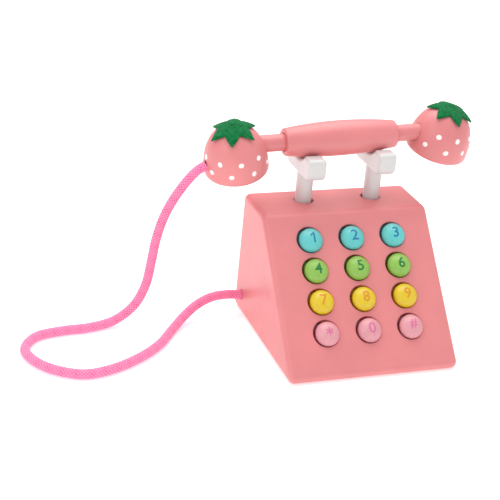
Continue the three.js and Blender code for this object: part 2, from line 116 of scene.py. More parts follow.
def smooth_line(points, spacing):
    """Evenly spaced points on the smooth curve through the given ones, and the curve's length."""
    points = np.array(points, float)
    knots = np.vstack([2 * points[0] - points[1], points, 2 * points[-1] - points[-2]])
    stretches = []
    for a, b, c, d in zip(knots, knots[1:], knots[2:], knots[3:]):
        before, span, after = (np.linalg.norm(q - p) ** 0.5 for p, q in ((a, b), (b, c), (c, d)))
        leaving = span * ((b - a) / before - (c - a) / (before + span) + (c - b) / span)
        arriving = span * ((c - b) / span - (d - b) / (span + after) + (d - c) / after)
        t = np.linspace(0, 1, 80, endpoint=False)[:, None]
        bend = 3 * (c - b) - 2 * leaving - arriving
        settle = 2 * (b - c) + leaving + arriving
        stretches.append(b + leaving * t + bend * t**2 + settle * t**3)
    curve = np.vstack([*stretches, points[-1:]])
    reached = np.insert(np.cumsum(np.linalg.norm(np.diff(curve, axis=0), axis=1)), 0, 0)
    stops = np.linspace(0, reached[-1], round(reached[-1] / spacing) + 1)
    return np.column_stack([np.interp(stops, reached, axis) for axis in curve.T]), reached[-1]


def make_piece(name, points, faces, material, smooth=True):
    """A named object from points and faces, all of its faces pointing out."""
    mesh = bpy.data.meshes.new(name)
    mesh.from_pydata([tuple(p) for p in points], [], faces)
    shell = bmesh.new()
    shell.from_mesh(mesh)
    bmesh.ops.recalc_face_normals(shell, faces=shell.faces)
    shell.to_mesh(mesh)
    shell.free()
    mesh.polygons.foreach_set("use_smooth", [smooth] * len(mesh.polygons))
    mesh.materials.append(material)
    piece = bpy.data.objects.new(name, mesh)
    bpy.context.scene.collection.objects.link(piece)
    return piece


def ring_faces(rings, count):
    """Faces that join each ring of points to the next, and one flat face over each end."""
    faces = [
        (i * count + j, i * count + (j + 1) % count, (i + 1) * count + (j + 1) % count, (i + 1) * count + j)
        for i in range(rings - 1)
        for j in range(count)
    ]
    return faces + [tuple(range(count)), tuple(range((rings - 1) * count, rings * count))]


def tube_round(line, radii):
    """Points and faces of a tube that follows a line. radii holds one row of radii for each point."""
    rings, sides = radii.shape
    along = np.gradient(line, axis=0)
    along /= np.linalg.norm(along, axis=1)[:, None]
    across = np.cross(along[0], (0.2, 0.3, 1.0))
    angle = 2 * math.pi * np.arange(sides) / sides
    points = []
    for centre, heading, radius in zip(line, along, radii):
        across = across - heading * (across @ heading)
        across /= np.linalg.norm(across)
        beside = np.cross(heading, across)
        spokes = np.outer(np.cos(angle), across) + np.outer(np.sin(angle), beside)
        points.append(centre + spokes * radius[:, None])
    return np.vstack(points), ring_faces(rings, sides)


def shade(red, green, blue):
    """A tone from its three values on a 0 to 255 card, as the linear colour that a shader takes."""
    card = [c / 255 for c in (red, green, blue)]
    return [c / 12.92 if c < 0.04 else ((c + 0.055) / 1.055) ** 2.4 for c in card] + [1.0]


def new_finish(name, roughness):
    """An empty node material: its nodes, its links and its shader."""
    material = bpy.data.materials.new(name)
    material.use_nodes = True
    tree = material.node_tree
    shader = tree.nodes["Principled BSDF"]
    shader.inputs["Roughness"].default_value = roughness
    return material, tree.nodes, tree.links, shader


def scaled(tone, factor, lift=0.0):
    """A tone made lighter or darker, and no brighter than full."""
    return [min(1.0, c * factor + lift) for c in tone[:3]] + [1.0]


def toned(nodes, links, value, stops):
    """The colour that a ramp of (place, colour) stops gives to a value."""
    ramp = nodes.new("ShaderNodeValToRGB")
    ramp.color_ramp.elements.remove(ramp.color_ramp.elements[1])
    ramp.color_ramp.elements[0].position = stops[0][0]
    ramp.color_ramp.elements[0].color = stops[0][1]
    for place_on_ramp, colour in stops[1:]:
        ramp.color_ramp.elements.new(place_on_ramp).color = colour
    links.new(value, ramp.inputs["Fac"])
    return ramp.outputs["Color"]


def spot_on(nodes):
    """Coordinates that are fixed to the piece."""
    return nodes.new("ShaderNodeTexCoord").outputs["Object"]


def noise_over(nodes, links, spot, scale, detail=2.0, roughness=0.5, distortion=0.0):
    """Noise laid over some coordinates, as a value from 0 to 1."""
    noise = nodes.new("ShaderNodeTexNoise")
    settings = {"Scale": scale, "Detail": detail, "Roughness": roughness, "Distortion": distortion}
    for setting, amount in settings.items():
        noise.inputs[setting].default_value = amount
    links.new(spot, noise.inputs["Vector"])
    return noise.outputs["Fac"]


def add_bumps(nodes, links, shader, height, strength, distance):
    """Small bumps in the surface, that follow a height value."""
    bump = nodes.new("ShaderNodeBump")
    bump.inputs["Strength"].default_value = strength
    bump.inputs["Distance"].default_value = distance
    links.new(height, bump.inputs["Height"])
    links.new(bump.outputs["Normal"], shader.inputs["Normal"])


def vary_gloss(nodes, links, shader, value, smoothest, roughest):
    """Roughness that follows a value between two limits."""
    gloss = nodes.new("ShaderNodeMapRange")
    gloss.inputs["To Min"].default_value = smoothest
    gloss.inputs["To Max"].default_value = roughest
    links.new(value, gloss.inputs["Value"])
    links.new(gloss.outputs["Result"], shader.inputs["Roughness"])


def multiplied(nodes, links, base, over, factor):
    """One colour multiplied by another, by a factor."""
    mixed = nodes.new("ShaderNodeMix")
    mixed.data_type = "RGBA"
    mixed.blend_type = "MULTIPLY"
    mixed.inputs["Factor"].default_value = factor
    links.new(base, mixed.inputs[6])
    links.new(over, mixed.inputs[7])
    return mixed.outputs[2]


def braided(name, line, radius, strands, pitch, relief, sides=48):
    """A rope of crossing strands. Each crossing is a pillow, and the gaps between pillows are sunk."""
    spacing = np.linalg.norm(line[1] - line[0])
    travel = np.arange(len(line))[:, None] * spacing / pitch
    turn = strands * np.arange(sides)[None, :] / sides
    right_hand, left_hand = turn + travel, turn - travel
    on_top = (np.floor(right_hand) + np.floor(left_hand)) % 2 == 0
    across = np.where(on_top, right_hand, left_hand) % 1 - 0.5
    lengthwise = np.where(on_top, left_hand, right_hand) % 1 - 0.5
    pillow = np.cos(math.pi * across) ** 0.55 * np.cos(math.pi * lengthwise) ** 0.35
    points, faces = tube_round(line, radius + relief * (pillow - 0.75))
    rope = make_piece(name, points, faces, braid_painted_shade_finish)
    # The strand height is kept for the finish, which paints shade into the gaps and highlight onto the tops.
    depth = rope.data.attributes.new("strand_height", "FLOAT", "POINT")
    depth.data.foreach_set("value", pillow.ravel().astype(np.float32))
    lay = rope.data.attributes.new("fibre_lay", "FLOAT_VECTOR", "POINT")
    fibres = np.stack([across, lengthwise * 0.12, np.where(on_top, travel, -travel)], axis=-1)
    lay.data.foreach_set("vector", fibres.ravel().astype(np.float32))
    return rope


def make_braid_painted_shade_finish():
    """Pink cotton with fibres along each strand, painted shade between strands, painted highlight on tops.
    """
    material, nodes, links, shader = new_finish("pink_braid_painted_shade", 0.78)
    shader.inputs["Sheen Weight"].default_value = 0.35
    shader.inputs["Sheen Roughness"].default_value = 0.4
    shader.inputs["Specular IOR Level"].default_value = 0.25
    height = nodes.new("ShaderNodeAttribute")
    height.attribute_name = "strand_height"
    lay = nodes.new("ShaderNodeAttribute")
    lay.attribute_name = "fibre_lay"
    fibres = noise_over(nodes, links, lay.outputs["Vector"], 14.0, 3.0)
    blend = nodes.new("ShaderNodeMath")
    blend.operation = "MULTIPLY_ADD"
    blend.inputs[1].default_value = 0.22
    links.new(fibres, blend.inputs[0])
    links.new(height.outputs["Fac"], blend.inputs[2])
    # Dark stop: painted shade between the strands. Light stop: painted highlight on the strand tops.
    tones = [(0.25, shade(222, 66, 130)), (0.62, shade(250, 128, 174)), (0.95, shade(252, 156, 194))]
    links.new(toned(nodes, links, blend.outputs["Value"], tones), shader.inputs["Base Color"])
    add_bumps(nodes, links, shader, fibres, 0.35, 0.0002)
    return material


braid_painted_shade_finish = make_braid_painted_shade_finish()
rope_spacing = 0.0004
rope_strands = 8
rope_pitch = 0.0023
rope_line, rope_length = smooth_line(rope_route, rope_spacing)
rope_heading = (rope_line[0] - rope_line[1]) / np.linalg.norm(rope_line[0] - rope_line[1])
tucked_in = [rope_line[0] + rope_heading * rope_spacing * k for k in range(5, 0, -1)]
whole_line = np.vstack([tucked_in, rope_line])
cord = braided("rope_cord", whole_line, rope_diameter / 2, rope_strands, rope_pitch, 0.00042)
# The soft rope flattens a little where it rests on the table.
for v in cord.data.vertices:
    v.co.z = max(v.co.z, 0.0)

# The overhand knot that keeps the rope from pulling out, in the corner behind the side board.
knot_low, knot_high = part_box("cord_knot")
knot_lump = Vector((knot_high.x - 0.0078, knot_high.y - 0.0073, (knot_low.z + knot_high.z) / 2))
knot_size = 0.00165
knot_radius = 0.0026


def overhand(t):
    """A point on the closed curve that an overhand knot follows."""
    return Vector((-math.sin(3 * t), math.sin(t) + 2 * math.sin(2 * t), math.cos(t) - 2 * math.cos(2 * t)))


knot_line = [knot_lump + knot_size * overhand(t) for t in np.linspace(0.25, 2 * math.pi - 0.1, 19)]
stub = [(-0.0619, 0.047, 0.0139), (-0.0579, 0.047, 0.0139), (-0.0544, 0.0465, 0.0141)]
knot_route, _ = smooth_line(stub + [tuple(p) for p in knot_line], rope_spacing)
knot = braided("rope_knot", knot_route, knot_radius, rope_strands, rope_pitch, 0.0004)
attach(knot, "base")
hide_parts("cord_knot")

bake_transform(cord)
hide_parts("cord")


# ----------------------------------------------------------------------------------- painted box
# Five boards, glued, sanded over the joints and sprayed with a satin pink lacquer until it looks like
# one soft-edged block. The sloped front has twelve holes for the buttons and the top has two for posts.
box_low, box_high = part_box("side_board_left")
box_half_width = -box_low.x
wall = box_high.x - box_low.x
box_front, box_back = box_low.y, box_high.y
box_height = box_high.z
slope_head = Vector((0.0154, box_height))
slope_foot = Vector((box_front, 0.0059))
top_back = 0.0576
slope_angle = math.atan2(slope_head.y - slope_foot.y, slope_head.x - slope_foot.x)
slope_length = (slope_head - slope_foot).length
keypad_frame = Matrix.Translation((0, slope_foot.x, slope_foot.y)) @ Matrix.Rotation(slope_angle, 4, "X")

key_names = ["1", "2", "3", "4", "5", "6", "7", "8", "9", "star", "0", "hash"]
column_pitch = 0.0308
row_pitch = 0.0221
keypad_rise = 0.0041
key_sag = 0.00055
key_hole_radius = 0.00935
key_places = {
    name: Vector((
        (i % 3 - 1) * column_pitch,
        slope_length / 2 + keypad_rise + (1.5 - i // 3) * row_pitch,
        0,
    ))
    for i, name in enumerate(key_names)
}


def corner_arc(before, corner, after, radius):
    """The arc that rounds a corner of an outline: its centre, its radius and the angles it spans."""
    into = (corner - before).normalized()
    out = (after - corner).normalized()
    turn = math.atan2(into.x * out.y - into.y * out.x, into.dot(out))
    inward = Vector((-into.y, into.x))
    centre = corner - into * radius * math.tan(turn / 2) + inward * radius
    start = math.atan2(-inward.y, -inward.x)
    return centre, radius, start, start + turn


def rounded(corners, radii):
    """The arcs of an outline that runs anticlockwise through its corners."""
    count = len(corners)
    return [corner_arc(corners[i - 1], corners[i], corners[(i + 1) % count], radii[i]) for i in range(count)]


def trace(arcs, steps):
    """Points along an outline of arcs, and the direction out of it at each. A hollow arc runs backwards."""
    points, outward = [], []
    for centre, radius, start, end in arcs:
        facing = 1 if end > start else -1
        for k in range(steps + 1):
            angle = start + (end - start) * k / steps
            spoke = Vector((math.cos(angle), math.sin(angle)))
            points.append(centre + spoke * radius)
            outward.append(spoke * facing)
    return points, outward


def soft_board(name, outline, from_x, to_x, rim, material, steps=6):
    """A board cut to an outline in Y and Z, with both of its rims sanded to a quarter round."""
    points, outward = outline
    rings = []
    for side, x, order in ((-1, from_x, range(steps + 1)), (1, to_x, range(steps, -1, -1))):
        for k in order:
            lean = math.pi / 2 * k / steps
            inset = rim * (1 - math.sin(lean))
            depth = rim * (1 - math.cos(lean))
            rings.append([(x - side * depth, *(p - n * inset)) for p, n in zip(points, outward)])
    faces = ring_faces(len(rings), len(points))
    return make_piece(name, [p for ring in rings for p in ring], faces, material)


def turned(name, profile, material, segments=64):
    """A piece turned on a lathe about Z. The profile is (radius, height) pairs, on the axis at both ends."""
    points = [(0, 0, profile[0][1])]
    for radius, height in profile[1:-1]:
        for j in range(segments):
            angle = 2 * math.pi * j / segments
            points.append((radius * math.cos(angle), radius * math.sin(angle), height))
    points.append((0, 0, profile[-1][1]))
    last = len(points) - 1
    rings = len(profile) - 2
    faces = []
    for j in range(segments):
        beside = (j + 1) % segments
        faces.append((0, 1 + beside, 1 + j))
        faces.append((last, last - segments + j, last - segments + beside))
        for i in range(rings - 1):
            low, high = 1 + i * segments, 1 + (i + 1) * segments
            faces.append((low + j, low + beside, high + beside, high + j))
    return make_piece(name, points, faces, material)


def quarter(centre_radius, centre_height, radius, from_degrees, to_degrees, steps=6):
    """Points of a small round on a lathe profile."""
    return [
        (centre_radius + radius * math.cos(angle), centre_height + radius * math.sin(angle))
        for angle in np.radians(np.linspace(from_degrees, to_degrees, steps + 1))
    ]


def place(piece, matrix):
    """Moves a piece's own mesh, so that its object stays at the origin."""
    piece.data.transform(matrix)
    return piece


def joined(pieces):
    """One object that holds several solids."""
    points, faces = [], []
    for piece in pieces:
        start = len(points)
        points += [v.co.copy() for v in piece.data.vertices]
        faces += [tuple(start + i for i in polygon.vertices) for polygon in piece.data.polygons]
    whole = make_piece(pieces[0].name + "_set", points, faces, pieces[0].data.materials[0])
    for piece in pieces:
        bpy.data.objects.remove(piece)
    return whole


def carve(piece, cutter):
    """Cuts one solid out of another and throws the cutter away."""
    knife = piece.modifiers.new("carve", "BOOLEAN")
    knife.operation = "DIFFERENCE"
    knife.solver = "EXACT"
    knife.object = cutter
    bpy.context.view_layer.update()
    carved = bpy.data.meshes.new_from_object(piece.evaluated_get(bpy.context.evaluated_depsgraph_get()))
    piece.modifiers.clear()
    piece.data = carved
    bpy.data.objects.remove(cutter)


def crisp(piece, degrees=32):
    """Smooth shading, broken at edges sharper than an angle and steadied by the large faces."""
    piece.data.polygons.foreach_set("use_smooth", [True] * len(piece.data.polygons))
    piece.data.set_sharp_from_angle(angle=math.radians(degrees))
    steady = piece.modifiers.new("steady_shading", "WEIGHTED_NORMAL")
    steady.keep_sharp = True


def lacquered(name, tone, roughness=0.4, mottle=0.05, peel=0.05):
    """Sprayed lacquer over sanded wood: cloudy by a few hundredths, with an orange peel in its gloss."""
    material, nodes, links, shader = new_finish(name, roughness)
    shader.inputs["Specular IOR Level"].default_value = 0.7
    spot = spot_on(nodes)
    clouds = noise_over(nodes, links, spot, 34.0, 4.0)
    tones = [(0.3, scaled(tone, 1 - mottle)), (0.7, scaled(tone, 1 + mottle))]
    links.new(toned(nodes, links, clouds, tones), shader.inputs["Base Color"])
    smears = noise_over(nodes, links, spot, 160.0, 3.0)
    vary_gloss(nodes, links, shader, smears, roughness - 0.05, roughness + 0.07)
    add_bumps(nodes, links, shader, noise_over(nodes, links, spot, 700.0), peel, 0.0004)
    return material


pink_lacquer = lacquered("pink_lacquer", shade(224, 130, 132))


def behind_slope(height, depth):
    """Y at a height, a depth behind the sloped face."""
    along = (height - slope_foot.y + depth * math.cos(slope_angle)) / math.sin(slope_angle)
    return slope_foot.x + along * math.cos(slope_angle) + depth * math.sin(slope_angle)


def ahead_of_back(height, depth):
    """Y at a height, a depth in front of the leaning back."""
    return box_back + (top_back - box_back) * height / box_height - depth


box_outline = rounded(
    [Vector((box_front, 0)), Vector((box_back, 0)), Vector((top_back, box_height)), slope_head, slope_foot],
    [0.0043, 0.0043, 0.0048, 0.0075, 0.005],
)
box_rim = 0.0042
painted_box = soft_board(
    "painted_box", trace(box_outline, 8), -box_half_width, box_half_width, box_rim, pink_lacquer,
)

ceiling = box_height - wall
below = -0.002
room_outline = rounded(
    [
        Vector((behind_slope(below, wall), below)), Vector((ahead_of_back(below, wall), below)),
        Vector((ahead_of_back(ceiling, wall), ceiling)), Vector((behind_slope(ceiling, wall), ceiling)),
    ],
    [0.0003, 0.0003, 0.0003, 0.0003],
)
inner_half = box_half_width - wall
room = soft_board("room", trace(room_outline, 2), -inner_half, inner_half, 0.0002, pink_lacquer, steps=1)
carve(painted_box, room)

hole_rim = 0.0007
hole_depth = 0.013
hole_clearance = 0.003


def hole_profile(radius, rim):
    """The lathe profile that cuts a hole down into a board and rounds its outer rim."""
    profile = [(0, -hole_depth), (radius, -hole_depth)] + quarter(radius + rim, -rim, rim, 180, 90)
    return profile + [(radius + rim, hole_clearance), (0, hole_clearance)]


holes = [
    place(
        turned(f"hole_{name}", hole_profile(key_hole_radius, hole_rim), pink_lacquer),
        keypad_frame @ Matrix.Translation(spot),
    )
    for name, spot in key_places.items()
]
hook_x = 0.002
hook_y = 0.038
post_hole_spacing = 0.051
post_hole_radius = 0.0069
for side in (-1, 1):
    spot = Matrix.Translation((hook_x + side * post_hole_spacing / 2, hook_y, box_height))
    post_hole = turned(f"post_hole_{side}", hole_profile(post_hole_radius, hole_rim), pink_lacquer)
    holes.append(place(post_hole, spot))
rope_hole_radius = 0.0036
rope_hole_rim = 0.0009
facing_left = Matrix.Rotation(-math.pi / 2, 4, "Y")
rope_side = Matrix.Translation((-box_half_width, rope_exit[1], rope_exit[2])) @ facing_left
rope_hole = turned("rope_hole", hole_profile(rope_hole_radius, rope_hole_rim), pink_lacquer)
holes.append(place(rope_hole, rope_side))
carve(painted_box, joined(holes))
crisp(painted_box)
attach(painted_box, "base")
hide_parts("side_board_left", "side_board_right", "front_board", "top_board", "back_board")


# ---------------------------------------------------------------------------- bottom and its screws
# A loose board of bare beech closes the box from below. Four countersunk cross-head screws hold it to
# the cleats, so that the springs can be reached.
def beech(name, tone, along="X", ring=0.0028):
    """Bare beech: long soft grain, short dark flecks, and a sawn and sanded surface."""
    material, nodes, links, shader = new_finish(name, 0.72)
    shader.inputs["Specular IOR Level"].default_value = 0.3
    stretch = nodes.new("ShaderNodeMapping")
    long_scale, cross_scale = 22.0, 1 / ring
    stretch.inputs["Scale"].default_value = [long_scale if axis == along else cross_scale for axis in "XYZ"]
    links.new(spot_on(nodes), stretch.inputs["Vector"])
    stretched = stretch.outputs["Vector"]
    grain = noise_over(nodes, links, stretched, 1.0, 5.0, distortion=0.6)
    wood = toned(nodes, links, grain, [(0.30, scaled(tone, 0.72)), (0.52, tone), (0.75, scaled(tone, 1.14))])
    pores = noise_over(nodes, links, stretched, 6.0, 1.0)
    fleck = toned(nodes, links, pores, [(0.30, [0.62, 0.55, 0.48, 1.0]), (0.37, [1.0, 1.0, 1.0, 1.0])])
    links.new(multiplied(nodes, links, wood, fleck, 0.8), shader.inputs["Base Color"])
    add_bumps(nodes, links, shader, grain, 0.3, 0.0003)
    return material


def plated_steel(name, roughness):
    """Zinc-plated steel, cloudy and lightly brushed."""
    material, nodes, links, shader = new_finish(name, roughness)
    shader.inputs["Metallic"].default_value = 1.0
    clouds = noise_over(nodes, links, spot_on(nodes), 900.0, 4.0)
    tones = [(0.3, shade(176, 178, 182)), (0.7, shade(214, 216, 218))]
    links.new(toned(nodes, links, clouds, tones), shader.inputs["Base Color"])
    vary_gloss(nodes, links, shader, clouds, roughness - 0.08, roughness + 0.12)
    return material


bare_beech = beech("bare_beech", shade(219, 184, 138))
zinc_plate = plated_steel("zinc_plate", 0.3)
plate_low, plate_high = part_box("bottom_board")
plate_outline = rounded(
    [
        Vector((plate_low.y, 0.0)), Vector((plate_high.y, 0.0)),
        Vector((ahead_of_back(plate_high.z, wall) - 0.0005, plate_high.z)),
        Vector((behind_slope(plate_high.z, wall) + 0.0005, plate_high.z)),
    ],
    [0.0006, 0.0006, 0.0006, 0.0006],
)
plate_rim = 0.0005
bottom = soft_board(
    "bottom_plate", trace(plate_outline, 3), plate_low.x, plate_high.x, plate_rim, bare_beech, steps=3,
)
head_radius = 0.003
shaft_radius = 0.0015
screw_length = 0.012
sink_radius = head_radius + 0.0002
pilot_radius = shaft_radius + 0.0003
sink_profile = [
    (0, -0.001), (sink_radius, -0.001), (sink_radius, 0.0006),
    (pilot_radius, 0.0023), (pilot_radius, screw_length), (0, screw_length),
]
screw_spots = [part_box(f"bottom_screw_{i}") for i in range(1, 5)]
screw_spots = [Vector(((low.x + high.x) / 2, (low.y + high.y) / 2, low.z)) for low, high in screw_spots]
carve(bottom, joined([
    place(turned(f"sink_{i}", sink_profile, bare_beech, 40), Matrix.Translation((spot.x, spot.y, 0)))
    for i, spot in enumerate(screw_spots)
]))
crisp(bottom)
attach(bottom, "base")
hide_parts("bottom_board")


def cross_recess(width, depth):
    """The tapered cross that a screwdriver fits, opening towards -Z."""
    arms = []
    for turn in (0, math.pi / 2):
        half, thick = width / 2, width * 0.13
        top = [(-half, -thick), (half, -thick), (half, thick), (-half, thick)]
        points = [(x, y, -0.0005) for x, y in top] + [(x * 0.45, y * 0.6, depth) for x, y in top]
        faces = [(0, 1, 2, 3), (4, 5, 6, 7), (0, 1, 5, 4), (1, 2, 6, 5), (2, 3, 7, 6), (3, 0, 4, 7)]
        arm = make_piece("recess", points, faces, zinc_plate, False)
        arms.append(place(arm, Matrix.Rotation(turn, 4, "Z")))
    return arms


def threaded(root, crest, pitch, low, high):
    """The saw-tooth side of a threaded shaft, as profile points from low to high."""
    points = []
    height = low
    while height + pitch < high:
        points += [(root, height), (root, height + pitch * 0.55), (crest, height + pitch * 0.78)]
        height += pitch
    return points


flat_head = [(0, 0.0), (head_radius - 0.0001, 0.0), (head_radius, 0.0001)]
flat_head += [(head_radius, 0.0004), (shaft_radius, 0.0019)]
flat_head += threaded(0.0011, shaft_radius, 0.0011, 0.0028, screw_length - 0.0012)
flat_head += [(0.0009, screw_length - 0.0012), (0.0002, screw_length), (0, screw_length)]
for i, spot in enumerate(screw_spots):
    screw = turned(f"plate_screw_{i + 1}", flat_head, zinc_plate, 40)
    for arm in cross_recess(0.0034, 0.0013):
        carve(screw, arm)
    turn = Matrix.Rotation(0.5 + 1.3 * i, 4, "Z")
    place(screw, Matrix.Translation(spot) @ turn)
    crisp(screw)
    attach(screw, "base")
    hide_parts(f"bottom_screw_{i + 1}")


# -------------------------------------------------------------------------------- wood inside the box
# Two cleats glued to the side boards, the board that the button springs stand on, a shelf for the hook
# springs and the crossbar that ties the two posts together. All are bare beech and never seen in use.
hidden_grain = {
    "cleat_left": "Y", "cleat_right": "Y", "spring_board": "X", "hook_shelf": "X", "hook_crossbar": "X",
}
for node, along in hidden_grain.items():
    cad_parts[node].data.materials.clear()
    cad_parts[node].data.materials.append(beech(f"{node}_beech", shade(214, 178, 130), along))
for i in range(1, 5):
    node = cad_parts[f"spring_board_screw_{i}"]
    node.data.materials.clear()
    node.data.materials.append(zinc_plate)


# ------------------------------------------------------------------------------ buttons and springs
# Twelve turned wooden buttons, dipped in four colours and printed with a telephone's signs. Each has a
# flange behind the board, a peg for its guide hole, and its own small steel spring to push it out.
cap_radius = 0.0084
cap_rim = 0.0009
cap_top = 0.0057
stem_radius = 0.0074
flange_radius = 0.0105
flange_top = -wall - 0.0003
flange_under = flange_top - 0.002
spring_face = flange_under - 0.0077
peg_radius = 0.0025


def dome_height(radius):
    """Height of a cap's dome at a distance from its axis: a soft shoulder under a shallow crown."""
    share = min(1.0, radius / cap_radius)
    return cap_rim + (cap_top - cap_rim) * (1 - share ** 2.25) ** 0.62


def dipped_wood(name, tone):
    """Paint dipped over turned wood: the growth rings and lathe lines still show faintly through it."""
    material = lacquered(name, tone, roughness=0.36, mottle=0.035, peel=0.04)
    nodes, links = material.node_tree.nodes, material.node_tree.links
    tilt = nodes.new("ShaderNodeMapping")
    tilt.inputs["Scale"].default_value = (700.0, 60.0, 260.0)
    tilt.inputs["Rotation"].default_value = (0.0, 0.2, 0.5)
    links.new(spot_on(nodes), tilt.inputs["Vector"])
    grain = noise_over(nodes, links, tilt.outputs["Vector"], 1.0, 4.0)
    streak = toned(nodes, links, grain, [(0.35, [0.86, 0.86, 0.86, 1.0]), (0.6, [1.0, 1.0, 1.0, 1.0])])
    base = nodes["Principled BSDF"].inputs["Base Color"]
    links.new(multiplied(nodes, links, base.links[0].from_socket, streak, 0.55), base)
    return material


def printing_ink(name, tone):
    """Pad-printed ink, thinner in places so that it looks slightly patchy."""
    material, nodes, links, shader = new_finish(name, 0.5)
    patch = noise_over(nodes, links, spot_on(nodes), 1500.0)
    tones = [(0.3, tone), (0.75, scaled(tone, 1.2, 0.02))]
    links.new(toned(nodes, links, patch, tones), shader.inputs["Base Color"])
    return material


row_tones = [
    ("cyan", shade(94, 202, 200), "blue", shade(10, 112, 156)),
    ("green", shade(140, 192, 78), "green", shade(8, 112, 48)),
    ("yellow", shade(228, 198, 22), "orange", shade(208, 136, 10)),
    ("pale_pink", shade(226, 156, 165), "magenta", shade(208, 102, 146)),
]
row_paints = [
    (f"{paint}_paint", dipped_wood(f"{paint}_dip", paint_tone), printing_ink(f"{ink}_ink", ink_tone))
    for paint, paint_tone, ink, ink_tone in row_tones
]
peg_end = spring_face - 0.002
peg_chamfer = 0.0003
flange_chamfer = 0.0004
button_profile = [
    (0, peg_end), (peg_radius - peg_chamfer, peg_end), (peg_radius, peg_end + peg_chamfer),
    (peg_radius, flange_under), (flange_radius - flange_chamfer, flange_under),
    (flange_radius, flange_under + flange_chamfer), (flange_radius, flange_top - flange_chamfer),
    (flange_radius - flange_chamfer, flange_top), (stem_radius, flange_top),
    (stem_radius, cap_rim - 0.003), (cap_radius - 0.0003, cap_rim - 0.002),
    (cap_radius, cap_rim - 0.0016), (cap_radius, cap_rim),
]
dome_radii = [cap_radius * math.cos(math.pi / 2 * k / 26) for k in range(1, 26)]
button_profile += [(radius, dome_height(radius)) for radius in dome_radii] + [(0, cap_top)]

sign_of = {"star": "*", "hash": "#"}
sign_heights = {"star": 0.0056, "hash": 0.0066}
sign_shift = Vector((0, 0.0007, 0))
ink_thickness = 0.0002
ink_height = 0.00005


def flagged_one(name):
    """The figure one with a slanted flag and no foot, as a filled outline."""
    stem_left, stem_right, top = 0.30, 0.42, 0.72
    flag_left, flag_top, flag_under = 0.12, 0.55, 0.43
    corners = [
        (stem_left, 0), (stem_right, 0), (stem_right, top), (0.34, top),
        (flag_left, flag_top), (flag_left, flag_under), (stem_left, flag_top),
    ]
    outline = bpy.data.curves.new(name, "CURVE")
    outline.dimensions = "2D"
    outline.fill_mode = "BOTH"
    spline = outline.splines.new("POLY")
    spline.points.add(len(corners) - 1)
    for point, corner in zip(spline.points, corners):
        point.co = (*corner, 0, 1)
    spline.use_cyclic_u = True
    return outline


def printed_sign(name, sign, height, ink):
    """A thin printed figure that lies on a cap's dome, as a closed film of ink."""
    if sign == "1":
        writing = flagged_one(name)
    else:
        writing = bpy.data.curves.new(name, "FONT")
        writing.body = sign
        writing.offset = 0.013
    letter = bpy.data.objects.new(name, writing)
    bpy.context.scene.collection.objects.link(letter)
    bpy.context.view_layer.update()
    flat = bpy.data.meshes.new_from_object(letter)
    bpy.data.objects.remove(letter)
    film = bmesh.new()
    film.from_mesh(flat)
    bmesh.ops.remove_doubles(film, verts=film.verts, dist=1e-5)
    low = Vector([min(v.co[i] for v in film.verts) for i in range(3)])
    high = Vector([max(v.co[i] for v in film.verts) for i in range(3)])
    size = height / (high.y - low.y)
    for v in film.verts:
        v.co = (v.co - (low + high) / 2) * size
    # Cuts on a fine grid let the flat figure bend over the dome.
    spacing = 0.0005
    for axis in (Vector((1, 0, 0)), Vector((0, 1, 0))):
        for k in range(-9, 10):
            parts = film.verts[:] + film.edges[:] + film.faces[:]
            bmesh.ops.bisect_plane(film, geom=parts, plane_co=axis * spacing * (k + 0.37), plane_no=axis)
    bmesh.ops.triangulate(film, faces=film.faces)
    for v in film.verts:
        v.co += sign_shift
        v.co.z = dome_height(v.co.xy.length) + ink_height
    film.to_mesh(flat)
    film.free()
    flat.materials.clear()
    flat.materials.append(ink)
    figure = bpy.data.objects.new(name, flat)
    bpy.context.scene.collection.objects.link(figure)
    thick = figure.modifiers.new("film", "SOLIDIFY")
    thick.thickness = ink_thickness
    thick.offset = -1
    return figure


def coil(name, radius, wire, low, high, turns):
    """A compression spring about Z with its end coils closed and lying flat."""
    count = round(turns * 30)
    line = []
    for k in range(count + 1):
        share = k / count
        rise = min(1.0, max(0.0, (share * turns - 0.8) / (turns - 1.6)))
        end_gap = wire * 2.1 * 0.8
        inner = low + wire + end_gap * min(1.0, share * turns / 0.8)
        inner_high = high - wire - end_gap * min(1.0, (1 - share) * turns / 0.8)
        height = inner + (inner_high - inner) * rise
        angle = 2 * math.pi * share * turns
        line.append((radius * math.cos(angle), radius * math.sin(angle), height))
    points, faces = tube_round(np.array(line), np.full((count + 1, 10), wire))
    return make_piece(name, points, faces, spring_wire)


spring_wire = plated_steel("spring_wire", 0.24)
for i, name in enumerate(key_names):
    slot_name, dip, ink = row_paints[i // 3]
    spot = keypad_frame @ Matrix.Translation(key_places[name] + Vector((key_sag, -key_sag, 0)))
    body = f"key_{name}"
    cap = turned(f"cap_{name}", button_profile, dip, 72)
    place(cap, Matrix.Rotation(0.7 * i, 4, "Z"))
    place(cap, spot)
    crisp(cap, 40)
    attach(cap, body)
    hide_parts(f"button_{name}")
    figure = printed_sign(f"sign_{name}", sign_of.get(name, name), sign_heights.get(name, 0.0076), ink)
    place(figure, spot)
    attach(figure, body)
    spring = coil(f"key_coil_{name}", 0.0043, 0.00045, spring_face + 0.0003, flange_under - 0.0003, 4.6)
    place(spring, spot)
    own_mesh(spring)
    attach(spring, "base")
    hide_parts(f"button_spring_{name}")


# ------------------------------------------------------------------------------------ hook and springs
# Two white posts slide in the top board under cradle heads that hold the grip. Below they are tied by
# the crossbar and pushed up by two springs, and their tails run in the shelf.
white_lacquer = lacquered("white_lacquer", shade(214, 212, 211), roughness=0.34, mottle=0.015, peel=0.05)
post_radius = 0.006
head_height = 0.016
head_half = 0.0225
head_rim = 0.0023
cradle_radius = 0.0142
cradle_depth = 0.0056
horn_radius = 0.0018
spring_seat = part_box("hook_shelf")[1].z
spring_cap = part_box("hook_crossbar")[0].z


